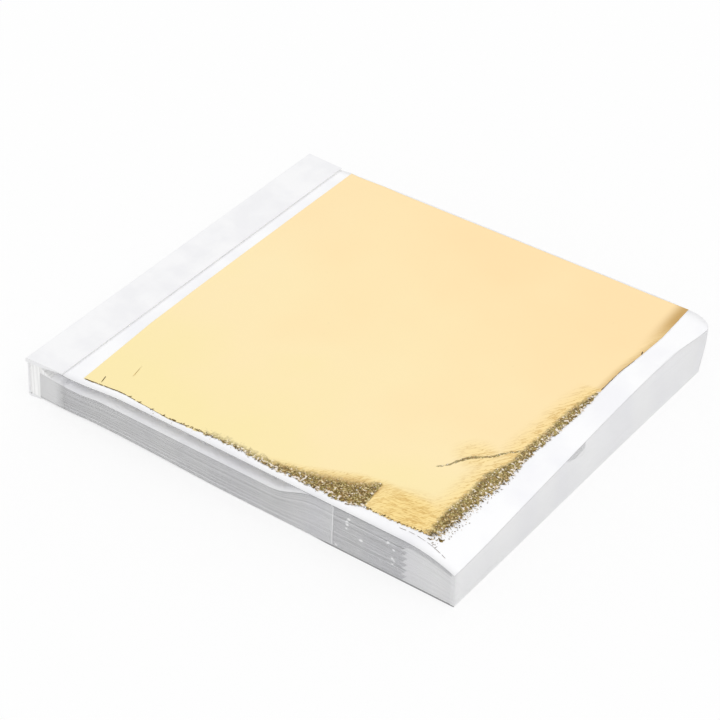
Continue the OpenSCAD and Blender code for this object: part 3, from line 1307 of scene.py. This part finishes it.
@dataclass
class TopLeaf:
    """The leaf that lies open on page 1, in its own coordinates: u across the page from the
    inner edge and v along the spine from the near edge."""

    lie: StackLie
    pages: Pages
    skew: float = 0.4
    lift: float = 0.02
    most: float = 0.2
    seed: int = 11

    wide: float = 79.5
    long: float = 87
    rim: float = 0.02
    tear: int = 60

    # Near and far edge, v over u
    near: Line = Line(
        (-1, 0, 8.6, 16.2, 21.1, 27.6, 35.5, 43.1, 51.6, 60.1, 63.3, 70.9, 77.2, 81),
        (-0.2, -0.2, -0.1, -0.7, -1.0, -0.4, -0.1, -0.6, -0.4, -0.4, 0.7, 0.8, 1.6, 1.8),
    )
    far: Line = Line(
        (-1, 3, 12, 24, 36, 47.6, 59, 70.4, 79, 82),
        (86.8, 86.4, 85.7, 86.0, 86.3, 86.6, 86.9, 87.1, 87.5, 87.5),
    )
    # Inner and outer edge, and the inner limit of the crushed band, u over v
    inner: Line = Line((-1, 4, 21, 37, 53, 69, 88), (0, -0.2, -1.0, -1.1, -1.0, -0.9, -0.7))
    edge: Line = Line(
        (0, 2.3, 6.5, 12.8, 22.9, 32, 39.4, 46.2, 54.8, 62.3, 68.6, 75.6, 80, 88),
        (77.2, 77.6, 78.5, 78.4, 79.2, 78.7, 79.2, 79.4, 78.9, 78.8, 79.3, 79.6, 79.4, 79.0),
    )
    band: Line = Line(
        (0, 3, 8.9, 14.7, 21.5, 27.2, 32.2, 39.5, 45.3, 50, 54.4, 56, 88),
        (76.6, 75.8, 75.2, 75.6, 75.3, 77, 76.8, 77.3, 77.2, 77.8, 78.5, 81.5, 81.5),
    )
    # How far the tears run in from the outer edge, over v, and from the near edge, over u
    ragged: Line = Line((0, 30, 50, 56), (0.6, 0.4, 0.3, 0.02))
    torn: Line = Line((0, 12, 25, 45, 62, 66, 77), (0.02, 0.1, 0.3, 0.55, 0.5, 0.3, 0.3))
    # Upper limit of the crushed wedge, how far it reaches from the near edge, and the crease
    # above it with half its width, all over u
    wedge: Line = Line(
        (24, 26.9, 35.2, 42.3, 48.2, 52.8, 57.5, 62.2), (-0.6, 0.3, 0.4, 0.5, 2.2, 4.4, 6.7, 7.8)
    )
    reach: Line = Line((24, 30, 42, 50, 56, 61), (0.5, 0.9, 1.3, 2.8, 4.6, 7.0))
    crease: Line = Line((67.1, 68.4, 70.6, 73.8, 74.9, 77), (17.6, 19, 23.5, 26.4, 28.4, 30.9))
    spread: Line = Line((67, 68.2, 70, 73, 77), (0.02, 0.14, 0.32, 0.28, 0.12))

    def place(self, u: Array, v: Array) -> tuple[Array, Array]:
        """Leaf coordinates turned into x_abs and y: askew about the inner near corner.

        Args:
            u: Place across the page.
            v: Place along the spine.

        Returns:
            x_abs and y, in the shape of u.
        """
        turn = math.radians(self.skew)
        x = self.lie.leaf_inner + u * math.cos(turn) - v * math.sin(turn)
        y = self.lie.leaf_near + u * math.sin(turn) + v * math.cos(turn)
        return x, y

    def page_top(self, x: Array, y: Array) -> Array:
        """Top of the uppermost page, with its waves."""
        return self.lie.page_low(1, x, y) + self.lie.page + self.pages.cockle(x, y)

    def off_crease(self, u: Array, v: Array) -> Array:
        """Distance from the crease."""
        return distance_to_path(u, v, np.column_stack([self.crease.stations, self.crease.values]))

    def crush(self, u: Array, v: Array) -> Array:
        """How crushed the leaf is: 1 inside the band, the wedge and the crease, fading out
        over some tenths of a millimetre.

        Args:
            u: Place across the page.
            v: Place along the spine.

        Returns:
            0 where the leaf is whole, up to 1.
        """
        band = ease(u - self.band(v), -0.9, 0.9)
        top, near = self.wedge(u), self.near(u)
        strip = ease(near + self.reach(u) - v, -1.9, 1.7)
        side = ease(u + 0.12 * v, 60.9, 62.6) * ease(top - v, -0.5, 0.4)
        wedge = np.maximum(strip, side) * ease(62.6 + (7.9 - v) * 0.12 - u, -0.1, 0.4) * ease(u, 25, 31)
        lumps = 0.12 * ripples(u, v, 1.4, seed=25)
        crease = ease(self.spread(u) + lumps - self.off_crease(u, v), -0.2, 0.12)
        return np.maximum(np.maximum(band, wedge), crease)

    def wrinkle(self, u: Array, v: Array) -> Array:
        """How wrinkled the leaf is along the fore edge, round the crease and over the wedge.

        Args:
            u: Place across the page.
            v: Place along the spine.

        Returns:
            0 where the leaf is smooth, up to 1.
        """
        beside = ease(u - self.band(v), -4.5, 0.2)
        above = ease(-np.hypot((u - 72) / 6, (v - 25) / 5), -1.1, -0.2)
        over = ease(self.wedge(u) - v, -1.8, 0.2) * ease(u, 38, 46)
        return np.clip(np.maximum.reduce([beside, 0.8 * above, 0.8 * over]), 0, 1)

    def corner(self, u: Array, v: Array) -> Array:
        """How wrinkled the leaf is in its near fore corner, where the strokes run across."""
        return ease(-np.hypot((u - 70.5) / 9, (v - 4.5) / 6.5), -1.1, -0.3)

    def shade(self, u: Array, v: Array) -> Array:
        """How much painted shade the leaf gets: at the far tip, a little along the clean stretch of
        its outer edge, and over the wedge.

        Args:
            u: Place across the page.
            v: Place along the spine.

        Returns:
            0 where the leaf is bright, up to 1.
        """
        inside = self.edge(v) - u
        tip = ease(-inside, -3.4, -0.4) * ease(v, 70, 84)
        line = ease(-inside, -1.6, -0.1) * ease(v, 53, 56)
        wedge = ease(self.wedge(u) - v, -0.8, 2.0) * ease(u, 30, 45) * (u < 63)
        return np.maximum.reduce([0.85 * tip, 0.4 * line, 0.6 * wedge])

    def pale(self, u: Array, v: Array) -> Array:
        """How far the crushed leaf is in holes: most at its torn edges, none a little inside.

        Args:
            u: Place across the page.
            v: Place along the spine.

        Returns:
            0 where it is whole, up to 1.
        """
        outer = ease(u - self.edge(v), -1.3, -0.1)
        near = ease(self.near(u) - v, -1.4, 0) * ease(u, 25, 40)
        return np.maximum(outer, near)

    def surface_height(self, u: Array, v: Array) -> Array:
        """Height of the leaf over its page.

        It lies level with faint long waves; wrinkles are folded sine ridges about 1.6 mm apart,
        crushed places sharper ridges 0.9 mm apart, and the crease is a rounded ridge. The sum
        never reaches the most: most times tanh(sum / most).

        Args:
            u: Place across the page.
            v: Place along the spine.

        Returns:
            Height of its underside over the page.
        """
        crush = self.crush(u, v)
        wrinkle = np.maximum(self.wrinkle(u, v), self.corner(u, v))
        waves = 0.01 * (1 + ripples(u, v, 14, seed=21))
        folds = 0.08 * (1 - np.abs(ripples(u, v, 2.6, seed=22))) * wrinkle
        tangle = 0.14 * (1 - np.abs(ripples(u, v, 1.2, seed=23))) * crush
        ridge = 0.1 * np.exp(-((self.off_crease(u, v) / 0.6) ** 2))
        total = np.maximum(waves, 0) + np.maximum(folds, 0) + np.maximum(tangle, 0) + ridge
        return self.lift + self.most * np.tanh(total / self.most)

    def grid(self) -> tuple[Array, Array]:
        """Grid over the leaf, closest where it is worn, with a narrow cell at each border.

        Returns:
            Shares of the way across and along the leaf.
        """
        across = ((self.rim, 25, 15), (25.4, 63, 94), (63.15, self.wide - self.rim, 108))
        along = ((self.rim, 12, 80), (12.4, 56, 109), (57, self.long - self.rim, 28))
        s, t = (
            np.concatenate([[0], *(np.linspace(*part) for part in parts), [size]]) / size
            for parts, size in ((across, self.wide), (along, self.long))
        )
        return np.meshgrid(s, t, indexing="ij")

    def build(self) -> None:
        """Makes the leaf, its torn fringe, its marks and the crumbs on the page."""
        draw = np.random.default_rng(self.seed)
        s, t = self.grid()
        v = t * self.long
        ragged = draw.uniform(-1, 1, t.shape[1]) * self.ragged(v[0])
        inner = self.inner(v)
        u = inner + s * (self.edge(v) - inner) + s**self.tear * ragged[None, :]
        torn = draw.uniform(-1, 1, s.shape[0]) * self.torn(u[:, 0])
        start = self.near(u) + (1 - t) ** self.tear * torn[:, None]
        v = start + t * (self.far(u) - start)
        x, y = self.place(u, v)
        low = self.page_top(x, y) + self.surface_height(u, v)
        tone = np.stack([getattr(self, name)(u, v) for name in TONES], -1)
        leaf = Surface("metal_leaf_01")
        leaf.add_sheet(self.lie, x, y, low, low + self.lie.leaf, 1.0, tone)
        made = leaf.build([LEAF, LEAF])
        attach(made, "leaf_01")
        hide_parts("leaf_01")
        self.build_fringe(draw)
        self.build_marks(draw)
        self.build_crumbs(draw)

    def flakes(self, name: str, spots: Array, tones: Array, draw: np.random.Generator) -> Surface:
        """Small torn slivers: four-cornered plates with uneven corners, each tilted a little.

        Args:
            name: Name of the piece.
            spots: One row a flake: u, v, mean radius, length over width, direction of the long
                side, and height of the plate over the page.
            tones: Tone of each flake, 0 brown to 1 gold.
            draw: Source of the uneven corners.

        Returns:
            The closed plates as one surface.
        """
        u, v, size, stretch, turn, lift = (column[:, None] for column in spots.T)
        count = len(spots)
        angle = np.array([0.25, 0.75, 1.25, 1.75]) * math.pi + draw.uniform(-0.4, 0.4, (count, 4))
        reach = size * draw.uniform(0.6, 1.3, (count, 4))
        along, aside = reach * np.cos(angle) * stretch, reach * np.sin(angle)
        du = along * np.cos(turn) - aside * np.sin(turn)
        dv = along * np.sin(turn) + aside * np.cos(turn)
        x, y = self.place(u + du, v + dv)
        z = self.page_top(x, y) + lift + draw.uniform(0, 0.04, (count, 4))
        low = np.stack([self.lie.row(x), y, z], -1)
        points = np.concatenate([low + [0, 0, 0.012], low], 1).reshape(-1, 3)
        faces = np.array([
            [0, 1, 2, 3], [7, 6, 5, 4], [4, 5, 1, 0], [5, 6, 2, 1], [6, 7, 3, 2], [7, 4, 0, 3]
        ])
        quads = (faces[None] + 8 * np.arange(count)[:, None, None]).reshape(-1, 4)
        place = np.stack([x, y, np.ones_like(x)], -1)
        places = np.concatenate([place, place], 1).reshape(-1, 3)
        columns = np.zeros((count * 8, len(TONES)))
        columns[:, 0] = np.repeat(tones, 8)
        surface = Surface(name)
        surface.add(points, quads, np.zeros(len(quads), int), places, columns)
        return surface

    def slivers(self, name: str, ends: Array, lift: float, draw: np.random.Generator) -> Surface:
        """Slivers between given ends.

        Args:
            name: Name of the piece.
            ends: One row a sliver: u and v of both ends, width, tone.
            lift: Height over the page.
            draw: Source of the uneven corners.

        Returns:
            The slivers as one surface.
        """
        (du, dv), middle = (ends[:, 2:4] - ends[:, :2]).T, (ends[:, :2] + ends[:, 2:4]) / 2
        width = ends[:, 4]
        turn, lifts = np.arctan2(dv, du), np.full(len(ends), lift)
        spots = np.column_stack([middle, width / 1.4, np.hypot(du, dv) / width, turn, lifts])
        return self.flakes(name, spots, ends[:, 5], draw)

    @staticmethod
    def chain(u: Array, v: Array, width: Array | float, tone: float) -> Array:
        """Rows of slivers that follow each other along a line.

        Args:
            u: Places of the line's points across the page.
            v: Their places along the spine.
            width: Width of each sliver, or of all.
            tone: Tone of all slivers.

        Returns:
            One row a sliver, as slivers() takes them.
        """
        count = len(u) - 1
        widths, tones = np.broadcast_to(width, count), np.full(count, tone)
        return np.column_stack([u[:-1], v[:-1], u[1:], v[1:], widths, tones])

    def build_fringe(self, draw: np.random.Generator) -> None:
        """Makes the slivers along the crushed edges, which lift with the leaf.

        Args:
            draw: Source of the random draws.
        """
        count, more = 480, 330
        v = draw.uniform(0.5, 54, count)
        width = np.interp(v, [0, 3, 20, 30, 54], [0.9, 1.4, 1.3, 0.9, 0.4])
        u = self.edge(v) - 0.6 + width * draw.beta(1.1, 1.7, count)
        near = draw.uniform(20, 77, more)
        reach = np.interp(near, [20, 30, 45, 58, 64, 77], [0.25, 0.45, 0.7, 0.9, 0.45, 0.35])
        below = self.near(near) + 0.3 - reach * draw.beta(1.2, 2.0, more)
        total = count + more
        spots = [
            np.concatenate([u, near]),
            np.concatenate([v, below]),
            draw.uniform(0.05, 0.14, total),
            draw.uniform(1, 3.5, total),
            np.concatenate([draw.uniform(-0.6, 1.2, count), draw.normal(-1.9, 0.5, more)]),
            draw.uniform(0.03, 0.14, total),
        ]
        fringe = self.flakes("metal_leaf_01_fringe", np.stack(spots, -1), draw.uniform(0, 1, total), draw)
        made = fringe.build([CRUMBS])
        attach(made, "leaf_01")

    def build_marks(self, draw: np.random.Generator) -> None:
        """Makes the small folds and nicks along the leaf's edges, which lift with it.

        Args:
            draw: Source of the random draws.
        """
        nicks = np.array([11, 13.5, 16.6, 19.4, 22, 24.7, 27, 28.5])
        top = self.near(nicks)
        widths, tones = np.full(8, 0.18), np.linspace(0.3, 0.05, 8)
        ends = np.column_stack([nicks - 0.2, top - 0.05, nicks + 0.15, top + 0.45, widths, tones])
        across = np.linspace(0.2, 24, 22)
        wide = np.interp(across[:-1], [0, 8, 14], [0.26, 0.2, 0.09])
        line = self.chain(across, self.near(across) + 0.04, wide, 0.3)
        along = np.linspace(55, 67, 9)
        dark = self.chain(self.edge(along) - 0.02, along, np.linspace(0.16, 0.1, 8), 0.0)
        single = np.array([
            [3.6, 0.5, 3.1, 2.3, 0.2, 0.2],
            [7.4, 5.3, 6.8, 8.4, 0.07, 0.85],
            [79.2, 69.4, 79.0, 70.2, 0.25, 0.0],
        ])
        rows = np.concatenate([ends, line, dark, single])
        marks = self.slivers("metal_leaf_01_marks", rows, 0.06, draw)
        made = marks.build([CRUMBS])
        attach(made, "leaf_01")

    def build_crumbs(self, draw: np.random.Generator) -> None:
        """Makes the crumbs and the thin hair-like sliver on the page, which stay with it.

        Args:
            draw: Source of the random draws.
        """
        count, few = 70, 22
        v = 0.3 + 24 * draw.beta(0.9, 1.8, count)
        u = self.edge(v) + 0.7 + 1.1 * draw.beta(0.8, 3.0, count)
        along = draw.uniform(6, 62, few)
        below = self.near(along) - draw.uniform(0.1, 0.7, few)
        total = count + few
        spots = [
            np.concatenate([u, along]),
            np.concatenate([v, below]),
            draw.uniform(0.03, 0.09, total),
            draw.uniform(1, 2.5, total),
            draw.uniform(0, math.pi, total),
            np.full(total, 0.01),
        ]
        crumbs = self.flakes("metal_leaf_crumbs", np.stack(spots, -1), draw.uniform(0, 1, total), draw)
        hair_u = np.array([71.1, 73, 75, 77, 79, 80.6, 81.8])
        hair_v = np.array([-0.1, 0.1, 0.1, -0.05, -0.3, -0.55, -0.8])
        marks = np.array([
            # Two ticks on the hair
            [78.3, -0.2, 78.45, 0.4, 0.08, 0.1],
            [79.0, -0.3, 79.15, 0.3, 0.08, 0.1],
            # A fleck of three slivers off the corner
            [78.5, 1.7, 79.1, 2.2, 0.5, 0.2],
            [78.9, 1.4, 79.2, 2.5, 0.3, 0.5],
            [78.1, 2.1, 78.4, 2.3, 0.3, 0.4],
        ])
        u, v = np.linspace(79.3, 79.8, 9) + draw.uniform(-0.3, 0.3, 9), np.linspace(3.3, 9, 9)
        row = np.column_stack([u, v, u + 0.15, v + 0.15, np.full((9, 2), (0.16, 0.2))])
        hair = self.chain(hair_u, hair_v, 0.06, 0.1)
        fine = self.slivers("hair", np.concatenate([hair, marks, row]), 0.01, draw)
        crumbs.add(fine.points[0], fine.quads[0], fine.materials[0], fine.places[0], fine.tones[0])
        made = crumbs.build([CRUMBS])
        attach(made, "page_01")


# The studio


@dataclass(frozen=True)
class Viewpoint:
    """The camera: angles in degrees, distances in millimetres, focal length in picture widths."""

    azimuth: float = 34.20
    elevation: float = 37.36
    roll: float = 2.54
    distance: float = 552.2
    target: tuple[float, float, float] = (-5.69, 4.04, 0.0)
    focal: float = 2847 / 720
    sensor: float = 36.0

    def build(self) -> None:
        """Makes the scene's camera: it looks at the target and is then rolled."""
        a, e, r = (math.radians(d) for d in (self.azimuth, self.elevation, self.roll))
        back = Vector((math.sin(a) * math.cos(e), -math.cos(a) * math.cos(e), math.sin(e)))
        right = (-back).cross(Vector((0, 0, 1))).normalized()
        up = right.cross(-back)
        across = right * math.cos(r) + up * math.sin(r)
        upward = up * math.cos(r) - right * math.sin(r)
        data = bpy.data.cameras.new("camera")
        data.sensor_width = self.sensor
        data.lens = self.focal * self.sensor
        data.clip_start, data.clip_end = 0.01, 20
        made = bpy.data.objects.new("camera", data)
        turn = Matrix((across, upward, back)).transposed()
        spot = (Vector(self.target) + back * self.distance) * MM
        made.matrix_world = Matrix.Translation(spot) @ turn.to_4x4()
        bpy.context.scene.collection.objects.link(made)
        bpy.context.scene.camera = made


@dataclass(frozen=True)
class Studio:
    """White floor, an even white surround and one large soft lamp overhead from the right."""

    surround: float = 0.86
    lamp: float = 0.48
    lamp_elevation: float = 62.0
    lamp_azimuth: float = 75.0
    lamp_softness: float = 50.0
    floor_half: float = 3.0

    def build(self) -> None:
        """Makes the world, the lamp and the floor, and sets the view transform."""
        scene = bpy.context.scene
        scene.view_settings.view_transform = "Standard"
        self.build_world(scene)
        sun = bpy.data.lights.new("soft_overhead", "SUN")
        sun.energy = self.lamp
        sun.angle = math.radians(self.lamp_softness)
        made = bpy.data.objects.new("soft_overhead", sun)
        a, e = math.radians(self.lamp_azimuth), math.radians(self.lamp_elevation)
        towards = Vector((math.sin(a) * math.cos(e), -math.cos(a) * math.cos(e), math.sin(e)))
        made.rotation_euler = towards.to_track_quat("Z", "Y").to_euler()
        scene.collection.objects.link(made)
        h, z = self.floor_half, -0.03 * MM
        mesh = bpy.data.meshes.new("studio_floor")
        mesh.from_pydata([(-h, -h, z), (h, -h, z), (h, h, z), (-h, h, z)], [], [(0, 1, 2, 3)])
        mesh.materials.append(FLOOR.material())
        floor = bpy.data.objects.new("studio_floor", mesh)
        scene.collection.objects.link(floor)

    def build_world(self, scene: bpy.types.Scene) -> None:
        """White for the camera and for mirrors, dimmer as a light on matt surfaces.

        Args:
            scene: Scene that gets the world.
        """
        world = bpy.data.worlds.new("white_surround")
        world.use_nodes = True
        tree = world.node_tree
        tree.nodes.clear()
        rays = add(tree, "ShaderNodeLightPath").node
        seen = calc(tree, "MAXIMUM", rays.outputs["Is Camera Ray"], rays.outputs["Is Glossy Ray"])
        seen = calc(tree, "MAXIMUM", seen, rays.outputs["Is Transmission Ray"])
        more = 1 - self.surround
        strength = calc(tree, "MULTIPLY_ADD", seen, more, self.surround)
        glow = add(tree, "ShaderNodeBackground", {"Color": (1, 1, 1, 1), "Strength": strength})
        add(tree, "ShaderNodeOutputWorld", {"Surface": glow})
        scene.world = world


def main() -> None:
    """Builds the studio and every part of the booklet, in order."""
    logging.basicConfig(level=logging.INFO, format="%(name)s: %(message)s")
    Studio().build()
    Viewpoint().build()
    lie = StackLie()
    pages = Pages(lie)
    Binding(lie, pages).build()
    pages.build()
    InnerLeaves(lie, pages).build()
    TopLeaf(lie, pages).build()


if __name__ == "__main__":
    main()
